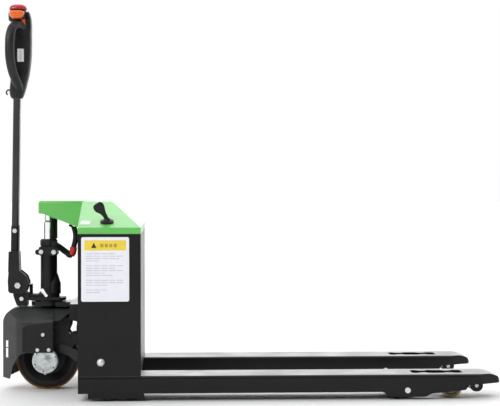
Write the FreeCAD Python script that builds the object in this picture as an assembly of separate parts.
"""Powered pallet truck with a hand-pumped lift: two forks, battery box, pump and drive unit, tiller.

Millimetres. +X runs from the tiller to the fork tips, +Z is up, the floor is Z = 0.
Shapes are drawn with X = 0 at the battery box's fork-side face, and save() moves them so that
the origin lies on the floor under the middle of the truck.
"""
import FreeCAD, Part
import math
import os

V = FreeCAD.Vector
os.makedirs("parts", exist_ok=True)

# ---- driving dimensions -------------------------------------------------------------------
WIDTH = 685.0            # over both forks
FORK_LENGTH = 1150.0     # box face to fork tip
FORK_WIDTH = 160.0
FORK_TOP = 80.0          # height of the lowered forks
FORK_WALL = 5.0
LIFT = 115.0             # travel of the forks
BOX_DEPTH = 198.0
BOX_FOOT = 79.5          # the box stands half a millimetre into the forks' tops
BOX_TOP = 529.0
BOX_WALL = 4.0
HOOD_FLANGE_TOP = 549.0
RIDGE_TOP = 628.0
FRONT_X = -466.0         # front of the drive wheel's shroud
STEER_X = -315.0         # vertical steering axis
DRIVE_R = 105.0
DRIVE_W = 70.0
LOAD_R = 37.0
LOAD_W = 70.0
LOAD_X = 994.5           # load wheel axle, lowered
ARM_PIVOT_X = 847.0
ARM_PIVOT_Z = 30.0
ROCKER_X = -126.0        # rocker shaft
ROCKER_Z = 124.0
YOKE_PIN_X = -214.0      # pin that carries the rocker's front end
TILLER_X = -416.0        # tiller pivot
TILLER_Z = 347.0
HANDLE_TOP = 1287.0

HALF = WIDTH / 2
FORK_Y = HALF - FORK_WIDTH / 2          # middle of each fork
YOKE_PIN_Z = ROCKER_Z + LIFT / 2
ORIGIN_X = (FRONT_X + FORK_LENGTH) / 2
SIDES = (("left", 1), ("right", -1))

# linkage: how far the rocker, the rods and the load wheel arms go over the full lift
ROCKER_REACH = math.hypot(ROCKER_X - YOKE_PIN_X, LIFT / 2)
ROCKER_HALF_SWING = math.asin(LIFT / 2 / ROCKER_REACH)
ARM_REACH = math.hypot(LOAD_X - ARM_PIVOT_X, LOAD_R - ARM_PIVOT_Z)
ARM_SWING = (math.asin((LOAD_R - ARM_PIVOT_Z) / ARM_REACH)
             + math.asin((LIFT - LOAD_R + ARM_PIVOT_Z) / ARM_REACH))
ARM_EAR = 36.0                                              # arm's ear, pivot to rod pin
ROD_TRAVEL = 2 * ARM_EAR * math.sin(ARM_SWING / 2)
ROCKER_EAR = ROD_TRAVEL / 2 / math.sin(ROCKER_HALF_SWING)   # rocker's ear, shaft to rod pin


# ---- helpers ------------------------------------------------------------------------------
def save(name, *solids):
    """Moves the solids to the row frame and writes them as one node."""
    shape = Part.makeCompound(list(solids)) if len(solids) > 1 else solids[0].copy()
    shape.translate(V(-ORIGIN_X, 0, 0))
    for s in shape.Solids:
        if not s.isValid() or s.Volume <= 0:
            print("BAD SOLID in", name)
    print(name, len(shape.Solids), round(shape.Volume / 1000, 1))
    shape.exportStep(f"parts/{name}.step")


def box(x0, x1, y0, y1, z0, z1):
    return Part.makeBox(x1 - x0, y1 - y0, z1 - z0, V(x0, y0, z0))


def rod_y(x, z, r, y0, y1):
    return Part.makeCylinder(r, y1 - y0, V(x, y0, z), V(0, 1, 0))


def rod_z(x, y, r, z0, z1):
    return Part.makeCylinder(r, z1 - z0, V(x, y, z0), V(0, 0, 1))


def rounded_face(points, plane):
    """A flat face through (u, v) or (u, v, corner radius) points, in plane xz, xy or yz."""
    to3 = {"xz": lambda u, v: V(u, 0, v), "xy": lambda u, v: V(u, v, 0),
           "yz": lambda u, v: V(0, u, v)}[plane]
    n = len(points)
    corners = []
    for i, p in enumerate(points):
        here = to3(p[0], p[1])
        radius = p[2] if len(p) > 2 else 0.0
        if not radius:
            corners.append((here, here, here))
            continue
        before = (to3(*points[i - 1][:2]) - here).normalize()
        after = (to3(*points[(i + 1) % n][:2]) - here).normalize()
        half = before.getAngle(after) / 2
        cut = radius / math.tan(half)
        middle = here + (before + after).normalize() * (radius / math.sin(half) - radius)
        corners.append((here + before * cut, middle, here + after * cut))
    edges = []
    for i, (start, middle, end) in enumerate(corners):
        if (end - start).Length > 1e-6:
            edges.append(Part.Arc(start, middle, end).toShape())
        following = corners[(i + 1) % n][0]
        if (following - end).Length > 1e-6:
            edges.append(Part.LineSegment(end, following).toShape())
    return Part.Face(Part.Wire(edges))


def slab_y(points, y0, y1):
    """An XZ outline, extruded across from y0 to y1."""
    face = rounded_face(points, "xz")
    face.translate(V(0, y0, 0))
    return face.extrude(V(0, y1 - y0, 0))


def slab_z(points, z0, z1):
    face = rounded_face(points, "xy")
    face.translate(V(0, 0, z0))
    return face.extrude(V(0, 0, z1 - z0))


def slab_x(points, x0, x1):
    face = rounded_face(points, "yz")
    face.translate(V(x0, 0, 0))
    return face.extrude(V(x1 - x0, 0, 0))


def both_sides(points, inner, outer):
    """The same XZ outline at -Y and +Y, between inner and outer distance from the middle."""
    return [slab_y(points, -outer, -inner), slab_y(points, inner, outer)]


def fuse(*shapes):
    return shapes[0].multiFuse(list(shapes[1:])).removeSplitter()


def moved(shape, x=0, y=0, z=0):
    copy = shape.copy()
    copy.translate(V(x, y, z))
    return copy


def capsule(x0, z0, x1, z1, r, y0, y1):
    """A bar with round ends from (x0, z0) to (x1, z1), r either side of that line."""
    ends = [rod_y(x0, z0, r, y0, y1), rod_y(x1, z1, r, y0, y1)]
    along = V(x1 - x0, 0, z1 - z0).normalize()
    side = V(-along.z, 0, along.x) * r
    a, b = V(x0, y0, z0), V(x1, y0, z1)
    wire = Part.makePolygon([a + side, b + side, b - side, a - side, a + side])
    bar = Part.Face(wire).extrude(V(0, y1 - y0, 0))
    return fuse(bar, *ends)


def hexagon_head(x, z, r, y0, y1):
    """A bolt head on the Y axis: a hexagon with a chamfered crown."""
    points = [V(x + r * math.cos(math.radians(60 * k)), y0, z + r * math.sin(math.radians(60 * k)))
              for k in range(7)]
    head = Part.Face(Part.makePolygon(points)).extrude(V(0, y1 - y0, 0))
    return head.common(rod_y(x, z, r * 0.97, min(y0, y1), max(y0, y1)))


# ---- forks --------------------------------------------------------------------------------
SKIRT_BOTTOM = FORK_TOP - 55.0
BULGE_BOTTOM = 9.0
ENTRY_X, ENTRY_Z, ENTRY_R = 1075.0, 39.0, 17.0
SLOT_X0, SLOT_X1 = 868.0, 1033.0
TONGUE_X = (905.0, 986.0)


def fork_outer(inset, floor_z):
    """The fork's outside, or its inside when inset by the wall; floor_z closes it below."""
    half = FORK_WIDTH / 2 - inset
    top = FORK_TOP - inset
    tip = FORK_LENGTH - inset
    side = slab_y([(-BOX_DEPTH, floor_z), (-BOX_DEPTH, top), (1116, top, 50),
                   (1143 - inset, top - 10, 16), (tip, top - 26, 2), (tip, floor_z)], -half, half)
    plan = slab_z([(-BOX_DEPTH, -half), (-BOX_DEPTH, half), (1080, half, 60),
                   (tip, half - 34, 22), (tip, -half + 34, 22), (1080, -half, 60)], floor_z, top)
    cross = slab_x([(-half, floor_z), (-half, top, 9 - inset), (half, top, 9 - inset),
                    (half, floor_z)], -BOX_DEPTH, tip)
    return side.common(plan).common(cross)


def fork(yc):
    outside = fork_outer(0, 0)
    below = slab_y([(-BOX_DEPTH - 1, -1), (-BOX_DEPTH - 1, SKIRT_BOTTOM), (768, SKIRT_BOTTOM, 20),
                    (794, BULGE_BOTTOM, 8), (904, BULGE_BOTTOM, 12), (926, 20, 12), (958, 22, 10),
                    (1034, 30, 10), (1046, 47, 8), (FORK_LENGTH + 1, 49), (FORK_LENGTH + 1, -1)],
                   -FORK_WIDTH, FORK_WIDTH)
    ears = both_sides([(ENTRY_X - 21, 77), (ENTRY_X - 21, ENTRY_Z - 19.5, 19.4),
                       (ENTRY_X + 21, ENTRY_Z - 19.5, 19.4), (ENTRY_X + 21, 77)], 33, 41)
    rear_web = box(-BOX_DEPTH, -BOX_DEPTH + FORK_WALL, -75.5, 75.5, SKIRT_BOTTOM, FORK_TOP - 4)
    # ribs stiffen the channel and keep off the push rod
    ribs = [box(x, x + 5, s0, s1, FORK_TOP - 40, FORK_TOP - 4)
            for x in (150, 420, 690) for s0, s1 in ((-75.5, -14), (14, 75.5))]
    shell = outside.cut(fork_outer(FORK_WALL, -5)).cut(below)
    clipped = [e.common(fork_outer(1, 0)) for e in ears]
    body = fuse(shell, rear_web, *clipped, *ribs)
    opening = slab_z([(SLOT_X0, -36, 14), (SLOT_X1, -36, 14), (SLOT_X1, 36, 14),
                      (SLOT_X0, 36, 14)], 60, 90)
    for x in TONGUE_X:
        for s in (-1, 1):
            opening = opening.cut(rod_z(x, s * 42, 19, 55, 95))
    rod_way = slab_z([(-185, -20, 12), (-14, -20, 12), (-14, 20, 12), (-185, 20, 12)], 60, 90)
    step = box(-BOX_DEPTH - 1, 0, -90, 90, BOX_FOOT, FORK_TOP + 1)
    body = body.cut(step)
    pin_hole = rod_y(ARM_PIVOT_X, ARM_PIVOT_Z, 9.05, -100, 100)
    entry_hole = rod_y(ENTRY_X, ENTRY_Z, 6.05, -60, 60)
    return moved(body.cut(opening).cut(rod_way).cut(pin_hole).cut(entry_hole), y=yc)


def forks():
    for name, s in SIDES:
        save(f"fork_{name}", fork(s * FORK_Y))
        roller = rod_y(ENTRY_X, ENTRY_Z, ENTRY_R, -31, 31).cut(
            rod_y(ENTRY_X, ENTRY_Z, 6.4, -40, 40))
        save(f"entry_roller_{name}", moved(roller, y=s * FORK_Y))
    save("entry_roller_pins", *[rod_y(ENTRY_X, ENTRY_Z, 6, s * FORK_Y - 44, s * FORK_Y + 44)
                                for _, s in SIDES])
    pins = []
    for _, s in SIDES:
        y0, y1 = s * FORK_Y - 83, s * FORK_Y + 83
        pins.append(rod_y(ARM_PIVOT_X, ARM_PIVOT_Z, 9, y0, y1))
    save("arm_pivot_pins", *pins)
    save("skids", *[box(-166, 10, min(s * 283, s * HALF), max(s * 283, s * HALF), 9,
                        SKIRT_BOTTOM) for _, s in SIDES])


# ---- battery box, hood and nose -----------------------------------------------------------
NOSE_HALF = 64.0
SHELF_Z = 226.0
BAY_HALF = 172.0        # half the width of the front plate's opening for the rocker
BAY_TOP = 215.0


def battery_box():
    wall = BOX_WALL
    outer = box(-BOX_DEPTH, 0, -HALF, HALF, BOX_FOOT, BOX_TOP)
    inner = box(-BOX_DEPTH + wall, -wall, -HALF + wall, HALF - wall, FORK_TOP - 1, BOX_TOP + 1)
    shelf = box(-BOX_DEPTH + 2, -2, -HALF + 2, HALF - 2, SHELF_Z, SHELF_Z + 4)
    mouth = slab_x([(-BAY_HALF, FORK_TOP - 5), (-BAY_HALF, BAY_TOP, 20), (BAY_HALF, BAY_TOP, 20),
                    (BAY_HALF, FORK_TOP - 5)], -BOX_DEPTH - 1, -BOX_DEPTH + wall + 1)
    lip = [box(-BOX_DEPTH + 2, -BOX_DEPTH + 18, -HALF + 2, HALF - 2, BOX_TOP - 4, BOX_TOP),
           box(-18, -2, -HALF + 2, HALF - 2, BOX_TOP - 4, BOX_TOP)]
    shaft_hole = rod_y(ROCKER_X, ROCKER_Z, 12.05, -HALF - 1, HALF + 1)
    save("battery_box", fuse(outer.cut(inner), shelf, *lip).cut(mouth).cut(shaft_hole))
    save("battery_pack", box(-186, -16, -250, 60, SHELF_Z + 4, SHELF_Z + 244))
    tank = box(-150, -50, 80, 170, SHELF_Z + 4, SHELF_Z + 110)
    save("power_pack", fuse(tank, rod_z(-100, 125, 40, SHELF_Z + 110, SHELF_Z + 250)))
    fins = [box(-150, -146.5, 195 + 14 * k, 203 + 14 * k, SHELF_Z + 14, SHELF_Z + 150)
            for k in range(8)]
    save("motor_controller", fuse(box(-146.5, -40, 185, 325, SHELF_Z + 4, SHELF_Z + 160), *fins))


def frustum(inset):
    """The hood's roof: a hipped block, upright on the tiller side."""
    x0, x1 = -BOX_DEPTH + inset, -inset
    low, high = HALF - inset, 76.0 - inset
    z0, z1 = HOOD_FLANGE_TOP - inset * 0.2, RIDGE_TOP - inset
    base = Part.makePolygon([V(x0, -low, z0), V(x1, -low, z0), V(x1, low, z0), V(x0, low, z0),
                             V(x0, -low, z0)])
    top = Part.makePolygon([V(x0, -high, z1), V(-100, -high, z1), V(-100, high, z1),
                            V(x0, high, z1), V(x0, -high, z1)])
    return Part.makeLoft([base, top], True, True)


def hood_and_nose():
    wall = 3.0
    flange = box(-BOX_DEPTH, 0, -HALF, HALF, BOX_TOP, HOOD_FLANGE_TOP)
    hollow = box(-BOX_DEPTH + wall, -wall, -HALF + wall, HALF - wall, BOX_TOP - 1,
                 HOOD_FLANGE_TOP)
    save("hood", fuse(flange, frustum(0)).cut(fuse(hollow, frustum(wall))))
    outline = [(-344, 587, 4), (-344, 630, 10), (-BOX_DEPTH, 630), (-BOX_DEPTH, 500),
               (-BOX_DEPTH - 8, 500), (-BOX_DEPTH - 8, 540, 10), (-222, 545, 12), (-330, 587, 30)]
    inside = [(-339, 570), (-339, 625), (-BOX_DEPTH - 6, 625), (-BOX_DEPTH - 6, 470),
              (-339, 470)]
    top_round = slab_x([(-NOSE_HALF, 400), (-NOSE_HALF, 630, 9), (NOSE_HALF, 630, 9),
                        (NOSE_HALF, 400)], -400, -100)
    outer = slab_y(outline, -NOSE_HALF, NOSE_HALF).common(top_round)
    shell = outer.cut(slab_y(inside, -NOSE_HALF + 5, NOSE_HALF - 5))
    seat = box(STEER_X - 24, STEER_X + 24, -NOSE_HALF + 3, NOSE_HALF - 3, 592, 628)
    save("nose_beam", fuse(shell, seat))


RAM_R = 18.0


def ram():
    head = Part.makeCone(RAM_R, 15.5, 5, V(STEER_X, 0, 558))
    save("ram", fuse(rod_z(STEER_X, 0, RAM_R, 344, 558), head,
                     rod_z(STEER_X, 0, 15.5, 563, 592)))


def rocker_shaft():
    save("rocker_shaft", rod_y(ROCKER_X, ROCKER_Z, 12, -HALF - 1, HALF + 1))
    nuts = []
    for _, s in SIDES:
        y0 = s * (HALF + 1)
        dome = Part.makeSphere(13.5, V(ROCKER_X, y0 - s * 5, ROCKER_Z))
        keep = rod_y(ROCKER_X, ROCKER_Z, 12, min(y0, y0 + s * 9), max(y0, y0 + s * 9))
        nuts.append(dome.common(keep))
    save("shaft_nuts", *nuts)


LABEL = (-187.0, -36.5, 316.0, 519.0)


def label():
    x0, x1, z0, z1 = LABEL
    save("label_plate", slab_y([(x0, z0, 6), (x1, z0, 6), (x1, z1, 6), (x0, z1, 6)],
                               -HALF - 0.8, -HALF))


# ---- isolator switch on the hood ----------------------------------------------------------
ISOLATOR_X, ISOLATOR_Y = -108.0, -292.0


def hood_height(y):
    """Height of the hood's sloping side at y."""
    share = (HALF - abs(y)) / (HALF - 76.0)
    return HOOD_FLANGE_TOP + share * (RIDGE_TOP - HOOD_FLANGE_TOP)


ISOLATOR_TILT = math.degrees(math.atan2(RIDGE_TOP - HOOD_FLANGE_TOP, HALF - 76.0))


def on_hood(shape):
    """Puts a shape drawn at the origin on the hood's slope, square to it."""
    placed = shape.copy()
    placed.rotate(V(0, 0, 0), V(1, 0, 0), ISOLATOR_TILT)
    placed.translate(V(ISOLATOR_X, ISOLATOR_Y, hood_height(ISOLATOR_Y)))
    return placed


def isolator():
    rim = fuse(rod_z(0, 0, 21.5, 0, 5), Part.makeCone(19.5, 16, 3, V(0, 0, 5)))
    base = rim.cut(rod_z(0, 0, 8, 1.5, 20))
    save("isolator_base", on_hood(base))
    lean = math.radians(27)
    neck = V(-math.sin(lean), 0, math.cos(lean))
    stem = Part.makeCone(5.5, 8.5, 36, V(0, 0, 6), neck)
    knob_at = V(0, 0, 6) + neck * 40
    knob = Part.makeSphere(15.5, knob_at + V(-6, 0, 3))
    knob = knob.common(box(-60, 30, -9.5, 9.5, 0, 90))
    wing = capsule(knob_at.x + 2, knob_at.z - 2, knob_at.x - 12, knob_at.z + 12, 9, -7, 7)
    foot = rod_z(0, 0, 7.6, 2, 10)
    save("isolator_key", on_hood(fuse(foot, stem, knob, wing)))


# ---- rocker, push rods and load wheel arms ------------------------------------------------
ROCKER_ARM_Y = (150.0, 160.0)


def rocker():
    """A tube on the shaft, two arms to the yoke pin, and two ears under it for the push rods."""
    tube = rod_y(ROCKER_X, ROCKER_Z, 18, -300, 300)
    for _, s in SIDES:
        tube = tube.cut(rod_y(ROCKER_X, ROCKER_Z, 19, s * FORK_Y - 8, s * FORK_Y + 8))
    parts = [tube]
    for _, s in SIDES:
        y0, y1 = sorted((s * ROCKER_ARM_Y[0], s * ROCKER_ARM_Y[1]))
        parts.append(capsule(ROCKER_X, ROCKER_Z, YOKE_PIN_X, YOKE_PIN_Z, 18, y0, y1))
        ear_x = ROCKER_X - ROCKER_EAR * math.sin(ROCKER_HALF_SWING)
        ear_z = ROCKER_Z - ROCKER_EAR * math.cos(ROCKER_HALF_SWING)
        for d0, d1 in ((-16, -8), (8, 16)):
            parts.append(capsule(ROCKER_X, ROCKER_Z, ear_x, ear_z, 9, s * FORK_Y + d0,
                                 s * FORK_Y + d1))
        parts.append(rod_y(ear_x, ear_z, 5, s * FORK_Y - 14, s * FORK_Y + 14))
    brace = capsule(ROCKER_X - 40, ROCKER_Z + 26, ROCKER_X - 28, ROCKER_Z + 18, 5,
                    -ROCKER_ARM_Y[0] - 2, ROCKER_ARM_Y[0] + 2)
    body = fuse(*parts, brace).cut(rod_y(ROCKER_X, ROCKER_Z, 12.3, -301, 301))
    # the pin slides along the arm as it swings, so each eye is a slot
    away = V(YOKE_PIN_X - ROCKER_X, 0, YOKE_PIN_Z - ROCKER_Z).normalize()
    near = ROCKER_X - YOKE_PIN_X - 0.5
    far = ROCKER_REACH + 0.5
    slot = capsule(ROCKER_X + away.x * near, ROCKER_Z + away.z * near,
                   ROCKER_X + away.x * far, ROCKER_Z + away.z * far, 11, -165, 165)
    save("rocker_frame", body.cut(slot))


ROD_Z = 64.2


def push_rod(yc):
    """A flat bar with a slotted eye at each end, cranked down into the fork's channel."""
    left_x = ROCKER_X - ROD_TRAVEL / 2
    left_z = ROCKER_Z - ROCKER_EAR * (1 + math.cos(ROCKER_HALF_SWING)) / 2
    right_x = ARM_PIVOT_X - ROD_TRAVEL / 2
    right_z = ARM_PIVOT_Z + ARM_EAR * (1 + math.cos(ARM_SWING / 2)) / 2
    bar = [capsule(left_x, left_z - 2.4, left_x, left_z + 2.4, 10, -5, 5),
           capsule(left_x, left_z, -72, ROD_Z - 1, 8, -5, 5),
           capsule(-72, ROD_Z - 1, right_x - 20, ROD_Z - 1, 8, -5, 5),
           capsule(right_x - 20, ROD_Z - 1, right_x, right_z - 1.5, 8.3, -5, 5),
           capsule(right_x, right_z - 1.2, right_x, right_z, 10, -5, 5)]
    eyes = [capsule(left_x, left_z - 2.4, left_x, left_z + 2.4, 5.7, -6, 6),
            capsule(right_x, right_z - 2.4, right_x, right_z + 2.2, 5.8, -6, 6)]
    return moved(fuse(*bar).cut(eyes[0]).cut(eyes[1]), y=yc)


def load_wheel_arm():
    """Two cheeks on a pivot tube, ears above for the push rod, and the two pins fixed in them."""
    tube = rod_y(ARM_PIVOT_X, ARM_PIVOT_Z, 16, -47, 47)
    cheeks = [capsule(ARM_PIVOT_X, ARM_PIVOT_Z, LOAD_X, LOAD_R, 15, *sorted((s * 38, s * 47)))
              for _, s in SIDES]
    ear_x = ARM_PIVOT_X - ARM_EAR * math.sin(ARM_SWING / 2)
    ear_z = ARM_PIVOT_Z + ARM_EAR * math.cos(ARM_SWING / 2)
    ears = [capsule(ARM_PIVOT_X, ARM_PIVOT_Z, ear_x, ear_z, 8, *sorted((s * 8, s * 16)))
            for _, s in SIDES]
    web = box(ARM_PIVOT_X + 8, ARM_PIVOT_X + 30, -40, 40, ARM_PIVOT_Z - 8, ARM_PIVOT_Z + 8)
    pins = [rod_y(LOAD_X, LOAD_R, 8, -52, 52), rod_y(ear_x, ear_z, 5, -18, 18)]
    body = fuse(tube, *cheeks, *ears, web, *pins)
    return body.cut(rod_y(ARM_PIVOT_X, ARM_PIVOT_Z, 9.4, -60, 60))


def running_gear():
    for name, s in SIDES:
        y = s * FORK_Y
        save(f"push_rod_{name}", push_rod(y))
        save(f"wheel_arm_{name}", moved(load_wheel_arm(), y=y))
        half = LOAD_W / 2
        tyre = rod_y(LOAD_X, LOAD_R, LOAD_R, -half, half).cut(
            rod_y(LOAD_X, LOAD_R, LOAD_R - 9, -half - 1, half + 1))
        core = rod_y(LOAD_X, LOAD_R, LOAD_R - 9, -half, half).cut(
            rod_y(LOAD_X, LOAD_R, 8.4, -half - 1, half + 1))
        for e in (-1, 1):
            ring = rod_y(LOAD_X, LOAD_R, 24, *sorted((e * (half - 3), e * (half + 1)))).cut(
                rod_y(LOAD_X, LOAD_R, 14, *sorted((e * (half - 4), e * (half + 2)))))
            core = core.cut(ring)
        save(f"load_tyre_{name}", moved(tyre, y=y))
        save(f"load_core_{name}", moved(core, y=y))


# ---- yoke under the pump ------------------------------------------------------------------
YOKE_Z = (279.0, 293.0)
YOKE_HALF = 148.0


def yoke():
    """A ring round the steering spindle, with two cheeks behind the wheel for the rocker's pin."""
    z0, z1 = YOKE_Z
    outline = [(-290, -58), (-236, -58, 12), (-236, -YOKE_HALF, 12), (-200, -YOKE_HALF),
               (-200, YOKE_HALF), (-236, YOKE_HALF, 12), (-236, 58, 12), (-290, 58)]
    plate = slab_z(outline, z0, z1).fuse(rod_z(STEER_X, 0, 58, z0, z1))
    cheeks = both_sides([(-212, 288), (-212, 203, 10), (-228, 186, 10), (-228, 168, 10),
                         (-200, 166, 10), (-200, 288)], YOKE_HALF - 10, YOKE_HALF)
    body = fuse(plate, *cheeks)
    body = body.cut(rod_z(STEER_X, 0, 26, z0 - 1, z1 + 1))
    save("yoke", body.cut(rod_y(YOKE_PIN_X, YOKE_PIN_Z, 8.05, -160, 160)))
    stubs = []
    for _, s in SIDES:
        stub = rod_y(YOKE_PIN_X, YOKE_PIN_Z, 8, *sorted((s * (YOKE_HALF - 14), s * 164)))
        collar = rod_y(YOKE_PIN_X, YOKE_PIN_Z, 16, *sorted((s * 160.6, s * 164)))
        head = rod_y(YOKE_PIN_X, YOKE_PIN_Z, 12, *sorted((s * (YOKE_HALF - 14),
                                                          s * (YOKE_HALF - 10))))
        stubs.append(fuse(stub, collar, head))
    save("yoke_pins", *stubs)


# ---- drive unit ---------------------------------------------------------------------------
SHROUD_HALF = 104.0
SHROUD_TOP = 275.0
SHROUD_REAR = -293.0
CROWN_REAR = -238.0


def drive_unit():
    cheek = [(STEER_X - 40, 250), (STEER_X - 40, 105, 36), (STEER_X + 1, 66, 36),
             (STEER_X + 36, 105, 36), (STEER_X + 36, 250)]
    top = box(STEER_X - 52, STEER_X + 52, -57, 57, 232, 250)
    bracket = fuse(*both_sides(cheek, 47, 57), top)
    bracket = fuse(bracket.cut(rod_y(STEER_X, DRIVE_R, 12.05, -60, 60)),
                   rod_z(STEER_X, 0, 25.5, 245, 297))
    save("wheel_bracket", bracket)
    save("thrust_bearing", rod_z(STEER_X, 0, 46, 293.3, 297).cut(
        rod_z(STEER_X, 0, 26, 293, 298)))
    save("drive_axle", rod_y(STEER_X, DRIVE_R, 12, -60, 66))
    cover = fuse(rod_y(STEER_X, DRIVE_R, 38, -92, -57), rod_y(STEER_X - 5, DRIVE_R - 2, 43, -100, -90))
    cap = rod_y(STEER_X, DRIVE_R, 26, 57, 70).cut(rod_y(STEER_X, DRIVE_R, 12.05, 50, 66))
    save("hub_covers", cover.cut(rod_y(STEER_X, DRIVE_R, 12.05, -60, -50)), cap)

    half = DRIVE_W / 2
    tyre = rod_y(STEER_X, DRIVE_R, DRIVE_R, -half, half)
    tyre = tyre.cut(rod_y(STEER_X, DRIVE_R, 90, -half - 1, half + 1))
    rim = rod_y(STEER_X, DRIVE_R, 90, -half, half)
    for e in (-1, 1):
        dish = Part.makeCone(80, 56, 14, V(STEER_X, e * (half + 0.01), DRIVE_R), V(0, -e, 0))
        rim = rim.cut(dish)
        hub = rod_y(STEER_X, DRIVE_R, 36, *sorted((e * (half - 14), e * (half + 9))))
        rim = rim.fuse(hub)
    rim = rim.removeSplitter().cut(rod_y(STEER_X, DRIVE_R, 12.4, -60, 60))
    save("drive_tyre", tyre)
    save("drive_rim", rim)


def shroud_block(inset):
    """The shroud's outside, or its inside when inset by the wall."""
    half, top = SHROUD_HALF - inset, SHROUD_TOP - inset
    front = FRONT_X + inset
    side = slab_y([(front, -5), (front, top, 58 - inset), (SHROUD_REAR, top),
                   (SHROUD_REAR, -5)], -half, half)
    plan = slab_z([(front, -34, 24), (-408, -half, 34), (SHROUD_REAR, -half),
                   (SHROUD_REAR, half), (-408, half, 34), (front, 34, 24)], -5, top)
    cross = slab_x([(-half, -5), (-half, top - 40, 16), (-38, top, 40), (38, top, 40),
                    (half, top - 40, 16), (half, -5)], front, SHROUD_REAR)
    return side.common(plan).common(cross)


def shroud():
    below = slab_y([(FRONT_X - 1, -9), (FRONT_X - 1, 42), (-439, 39, 4), (-427, 84, 30),
                    (-402, 124, 16), (-380, 129, 8), (-200, 129), (-200, -9)], -120, 120)
    shell = shroud_block(0).cut(shroud_block(3.2)).cut(below)
    crown = slab_z([(SHROUD_REAR, -96), (SHROUD_REAR + 24, -96, 20), (CROWN_REAR, -58, 20),
                    (CROWN_REAR, 58, 20), (SHROUD_REAR + 24, 96, 20), (SHROUD_REAR, 96)],
                   228, SHROUD_TOP)
    roof = slab_x([(-104, 222), (-104, 231, 8), (-38, SHROUD_TOP, 40), (38, SHROUD_TOP, 40),
                   (104, 231, 8), (104, 222)], SHROUD_REAR - 1, CROWN_REAR + 1)
    under = roof.translated(V(0, 0, -3.2))
    shell = shell.fuse(crown.common(roof).cut(under))
    mount = box(STEER_X - 52, SHROUD_REAR, -79, 79, 250, 254)
    tabs = [box(STEER_X - 30, SHROUD_REAR, *sorted((s * 57, s * 102)), 180, 200)
            for _, s in SIDES]
    body = fuse(shell, mount, *tabs)
    save("shroud", body.cut(rod_z(STEER_X, 0, 26.5, 240, 300)))


def cylinder():
    foot = slab_z([(-378, -40, 14), (-258, -40, 20), (-258, 40, 20), (-378, 40, 14)], 297, 307)
    foot = foot.fuse(slab_z([(-378, -26, 10), (-330, -26), (-330, 26), (-378, 26, 10)], 305, 317.5))
    foot = foot.fuse(rod_z(STEER_X, 0, 36, 306, 318))
    foot = foot.fuse(Part.makeCone(36, 30, 6, V(STEER_X, 0, 318)))
    well = fuse(rod_z(STEER_X + 13, 0, 27, 318, 352),
                Part.makeCone(27, 16, 34, V(STEER_X + 13, 0, 352)))
    body = fuse(foot, well).cut(rod_z(STEER_X, 0, 28.05, 322, 420))
    body = body.cut(rod_y(RELEASE_X, RELEASE_Z, 5.3, -46, -20))
    save("cylinder_base", body)
    barrel = rod_z(STEER_X, 0, 28, 322, 480).cut(rod_z(STEER_X, 0, RAM_R + 0.4, 336, 481))
    save("cylinder_barrel", barrel)
    cap = fuse(rod_z(STEER_X, 0, 29, 480, 496), Part.makeCone(29, 25, 5, V(STEER_X, 0, 496)))
    save("gland_nut", cap.cut(rod_z(STEER_X, 0, RAM_R + 0.35, 479, 502)))
    clamp = slab_y([(-346, 447, 5), (-284, 447, 5), (-284, 476, 5), (-346, 476, 5)], -36, 36)
    ear = slab_y([(-358, 449, 8), (-340, 449), (-340, 467), (-358, 467, 8)], -36, -24)
    save("cable_clamp", fuse(clamp, ear).cut(rod_z(STEER_X, 0, 28.05, 440, 485)))


RELEASE_X, RELEASE_Z = -321.0, 314.0


SPRING_X = -374.0


def tiller_mount():
    # the coil is drawn as a solid of its turns' outline
    profile = [V(0, 0, 0), V(7, 0, 0)]
    for k in range(1, 12):
        profile.append(V(7 if k % 2 == 0 else 5, 0, 2.5 * k))
    profile += [V(7, 0, 30), V(0, 0, 30), V(0, 0, 0)]
    coil = Part.Face(Part.makePolygon(profile)).revolve(V(0, 0, 0), V(0, 0, 1), 360)
    save("return_spring", moved(coil, x=SPRING_X, z=318))
    lever = capsule(RELEASE_X, RELEASE_Z, RELEASE_X - 10, RELEASE_Z + 15, 4.2, -47, -43)
    stem = rod_y(RELEASE_X, RELEASE_Z, 5, -45, -24)
    tip = capsule(RELEASE_X - 9, RELEASE_Z + 13, RELEASE_X - 12, RELEASE_Z + 18, 5.5, -51, -43)
    save("release_lever", fuse(lever, stem, tip))
    ear = [(-432, 312, 10), (-420, 278, 8), (-384, 278), (-384, 300), (-378, 300), (-378, 317),
           (-390, 326, 14), (-402, 347), (TILLER_X, 363, 14), (-432, 347)]
    plates = [p.cut(rod_y(TILLER_X, TILLER_Z, 8.05, -40, 40)) for p in both_sides(ear, 14, 24)]
    spacer = box(-384, -378, -24, 24, 298, 317)
    bracket = fuse(*plates, spacer).cut(rod_y(-404, 302, 6.05, -40, 40))
    save("tiller_bracket", bracket)


SHROUD_BOLTS = ((-327, 189), (-345, 139), (-308, 139))


def fasteners():
    heads = []
    for s in (-1, 1):
        y = s * SHROUD_HALF
        for x, z in SHROUD_BOLTS:
            heads.append(hexagon_head(x, z, 6.5, y, y + s * 5))
    save("shroud_bolts", *heads)
    clamp = [hexagon_head(-338, 459, 8, -36, -43), hexagon_head(-296, 458, 8.5, -36, -43)]
    clamp += [hexagon_head(-296, 458, 8.5, 36, 43)]
    through = fuse(rod_y(-404, 302, 6, -26, 26), hexagon_head(-404, 302, 7.5, -26, -32),
                   hexagon_head(-404, 302, 7.5, 26, 32))
    save("clamp_bolts", *clamp, through)


# ---- tiller -------------------------------------------------------------------------------
TUBE_LEAN = math.atan2(8.0, 540.0)
TUBE_FOOT = (-428.0, 400.0)


def along_tube(z):
    """X of the tiller tube's centre line at height z."""
    return TUBE_FOOT[0] + (z - TUBE_FOOT[1]) * math.tan(TUBE_LEAN)


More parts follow.
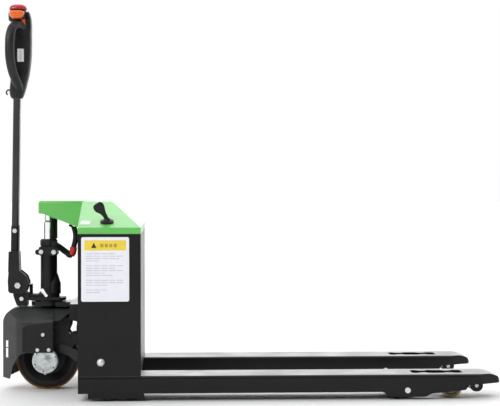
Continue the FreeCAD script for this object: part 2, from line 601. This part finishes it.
def tube_section(z0, z1, half_x, half_y, corner):
    """A rounded bar along the tube's centre line."""
    def wire(z):
        x = along_tube(z)
        face = rounded_face([(x - half_x, -half_y, corner), (x + half_x, -half_y, corner),
                             (x + half_x, half_y, corner), (x - half_x, half_y, corner)], "xy")
        face.translate(V(0, 0, z))
        return face.OuterWire
    return Part.makeLoft([wire(z0), wire(z1)], True, True)


def tiller():
    cheek = [(-447, 322, 10), (-449, 362, 60), (-446, 398), (-410, 398, 14), (-386, 378, 18),
             (-378, 354, 18), (-388, 325, 12), (-410, 318, 20)]
    web = slab_y([(-448, 388, 6), (-446, 460, 3), (-412, 460, 3), (-410, 388, 6)], -36, 36)
    neck = tube_section(455, 546, 13.2, 25.5, 8)
    base = fuse(*both_sides(cheek, 26, 36), web, neck)
    hollow = tube_section(420, 560, 11.6, 22.6, 6.5)
    base = base.cut(hollow).cut(rod_y(TILLER_X, TILLER_Z, 8.05, -40, 40))
    base = base.cut(rod_y(along_tube(529), 529, 5.05, -40, 40))
    save("tiller_base", base)
    tube = tube_section(422, 985, 11.5, 22.5, 6.5).cut(tube_section(421, 986, 9, 20, 4))
    save("tiller_tube", tube.cut(rod_y(along_tube(529), 529, 5.05, -40, 40)))
    pivot = fuse(rod_y(TILLER_X, TILLER_Z, 8, -37, 37),
                 hexagon_head(TILLER_X, TILLER_Z, 10.5, -36, -43),
                 hexagon_head(TILLER_X, TILLER_Z, 10.5, 36, 43))
    bolt = fuse(rod_y(along_tube(529), 529, 5, -27, 27),
                hexagon_head(along_tube(529), 529, 8, -26, -32),
                hexagon_head(along_tube(529), 529, 8, 26, 32))
    anchor = fuse(rod_y(-392, 353, 5, -26, 26), box(-392, -366, -6, 6, 348.6, 352))
    save("tiller_bolts", pivot, bolt, anchor)


# ---- handle head --------------------------------------------------------------------------
# z, middle X, half depth along X, half width along Y of the head's sections
HEAD_SECTIONS = ((972, -416, 19, 24), (1000, -414, 25, 30), (1060, -408, 29, 36),
                 (1140, -404, 29, 38), (1190, -407, 30, 38), (1206, -408, 30, 35.5),
                 (1234, -413, 31, 35.5))


def head_block():
    """The head's outside, where its side outline and its front outline cross."""
    up = HEAD_SECTIONS
    down = HEAD_SECTIONS[::-1]
    side = [(x - hx, z) for z, x, hx, _ in up] + [(x + hx, z) for z, x, hx, _ in down]
    front = [(-hy, z) for z, _, _, hy in up] + [(hy, z) for z, _, _, hy in down]
    return slab_y(side, -50, 50).common(slab_x(front, -500, -300))


def head_body():
    body = head_block()
    body = body.cut(tube_section(960, 1012, 11.6, 22.6, 6.5))
    body = body.cut(box(-434, -388, -26, 26, 1060, 1225))
    for z, r in BUTTONS:
        body = body.cut(Part.makeCylinder(r + 0.5, 22, V(-455, 0, z), V(1, 0, 0)))
    clip = rod_y(-440, 984, 8.5, -2.5, 2.5).cut(rod_y(-441, 984, 4.2, -3, 3))
    return fuse(body, clip.cut(box(-434, -420, -5, 5, 970, 1000)))


BUTTONS = ((1196, 8.0), (1170, 8.0), (1138, 9.5))      # lift, lower, horn
GRIP_R = 16.0
BELLY_POSTS = (-433.0, -401.0)


def pipe(points, radius):
    """A round bar along straight runs joined by tangent arcs."""
    points = [V(*p) for p in points]
    edges, start = [], points[0]
    for a, b, c in zip(points, points[1:], points[2:]):
        before, after = (a - b).normalize(), (c - b).normalize()
        turn = math.pi - before.getAngle(after)
        short = min((a - b).Length, (c - b).Length)
        cut = 0.45 * short
        bend = cut / math.tan(turn / 2)
        middle = b + (before + after).normalize() * (bend / math.cos(turn / 2) - bend)
        edges.append(Part.LineSegment(start, b + before * cut).toShape())
        edges.append(Part.Arc(b + before * cut, middle, b + after * cut).toShape())
        start = b + after * cut
    edges.append(Part.LineSegment(start, points[-1]).toShape())
    wire = Part.Wire(edges)
    profile = Part.Wire(Part.makeCircle(radius, points[0], points[1] - points[0]))
    shell = wire.makePipeShell([profile], True, False)
    length = sum(e.Length for e in wire.Edges)
    error = shell.Volume / (math.pi * radius ** 2 * length) - 1
    if abs(error) > 0.02:
        print("PIPE VOLUME off by", round(error, 3))
    return shell if shell.ShapeType == "Solid" else Part.Solid(shell)


GRIP_ROUTE = ((-412, 20, 1012), (-420, 46, 1030), (-436, 78, 1066), (-441, 89, 1118),
              (-437, 84, 1170), (-426, 62, 1204), (-416, 22, 1216))


def handle():
    body = head_body()
    save("handle_body", body)
    loops = []
    for _, s in SIDES:
        loop = pipe([(x, s * y, z) for x, y, z in GRIP_ROUTE], GRIP_R)
        loops.append(loop.cut(head_block()))
    save("grip_loops", *[max(p.Solids, key=lambda q: q.Volume) for p in loops])
    crown = slab_y([(-446, 1234, 4), (-449, 1261, 6), (-383, 1261, 6), (-386, 1234, 4)], -36, 36)
    crown = crown.cut(rod_y(-417, 1248.5, 5.08, -40, 40))
    for x in BELLY_POSTS:
        crown = crown.cut(rod_z(x, 0, 4.4, 1243, 1270))
    save("head_crown", crown)
    wings = []
    for _, s in SIDES:
        wings.append(slab_y([(-440, 1238, 6), (-443, 1259, 6), (-391, 1259, 6),
                             (-394, 1238, 6)], *sorted((s * 36.5, s * 66))))
    shaft = rod_y(-417, 1248.5, 5, -67, 67)
    save("throttle_wings", fuse(*wings, shaft))
    dome = slab_y([(-445, 1265.5, 4), (-444, 1280, 12), (-416, HANDLE_TOP + 5, 40),
                   (-388, 1280, 12), (-386, 1265.5, 4)], -33, 33)
    posts = [rod_z(x, 0, 4, 1250, 1268) for x in BELLY_POSTS]
    save("belly_button", fuse(dome, *posts))
    for name, (z, r) in zip(("lift_button", "lower_button", "horn_button"), BUTTONS):
        x = head_front(z)
        save(name, Part.makeCylinder(r, 14, V(x - 3.5, 0, z), V(1, 0, 0)))


def head_front(z):
    """X of the head's operator-side face at height z."""
    for (za, xa, ha, _), (zb, xb, hb, _) in zip(HEAD_SECTIONS, HEAD_SECTIONS[1:]):
        if za <= z <= zb:
            t = (z - za) / (zb - za)
            return (xa - ha) + t * ((xb - hb) - (xa - ha))
    return 0.0


# ---- cable between the pump and the battery box -------------------------------------------
HARNESS_R = 10.0
HARNESS_WAY = V(0.81, 0, -0.59).normalize()      # how the lower harness leaves the clamp


def harness():
    lower = [(-279, -8, 468), (-270, -8, 465), (-262, -8, 459), (-255, -8, 454)]
    save("harness_lower", pipe(lower, HARNESS_R))
    start = V(*lower[-1]) + HARNESS_WAY * 2
    plug = Part.makeCylinder(12, 14, start, HARNESS_WAY)
    save("harness_plug", plug)
    end = start + HARNESS_WAY * 17
    upper = [end, end + HARNESS_WAY * 9, V(-220, -8, 440), V(-216, -8, 456), V(-216, -8, 474),
             V(-219, -8, 492), V(-222, -8, 514)]
    save("harness_upper", pipe([tuple(p) for p in upper], HARNESS_R - 1))


def main():
    forks()
    battery_box()
    hood_and_nose()
    ram()
    rocker_shaft()
    label()
    isolator()
    rocker()
    running_gear()
    yoke()
    drive_unit()
    shroud()
    cylinder()
    tiller_mount()
    fasteners()
    tiller()
    handle()
    harness()
    print("rocker swing", round(2 * ROCKER_HALF_SWING, 5), "arm swing", round(ARM_SWING, 5),
          "rod travel", round(ROD_TRAVEL, 3), "rocker ear", round(ROCKER_EAR, 2),
          "origin", ORIGIN_X)


main()
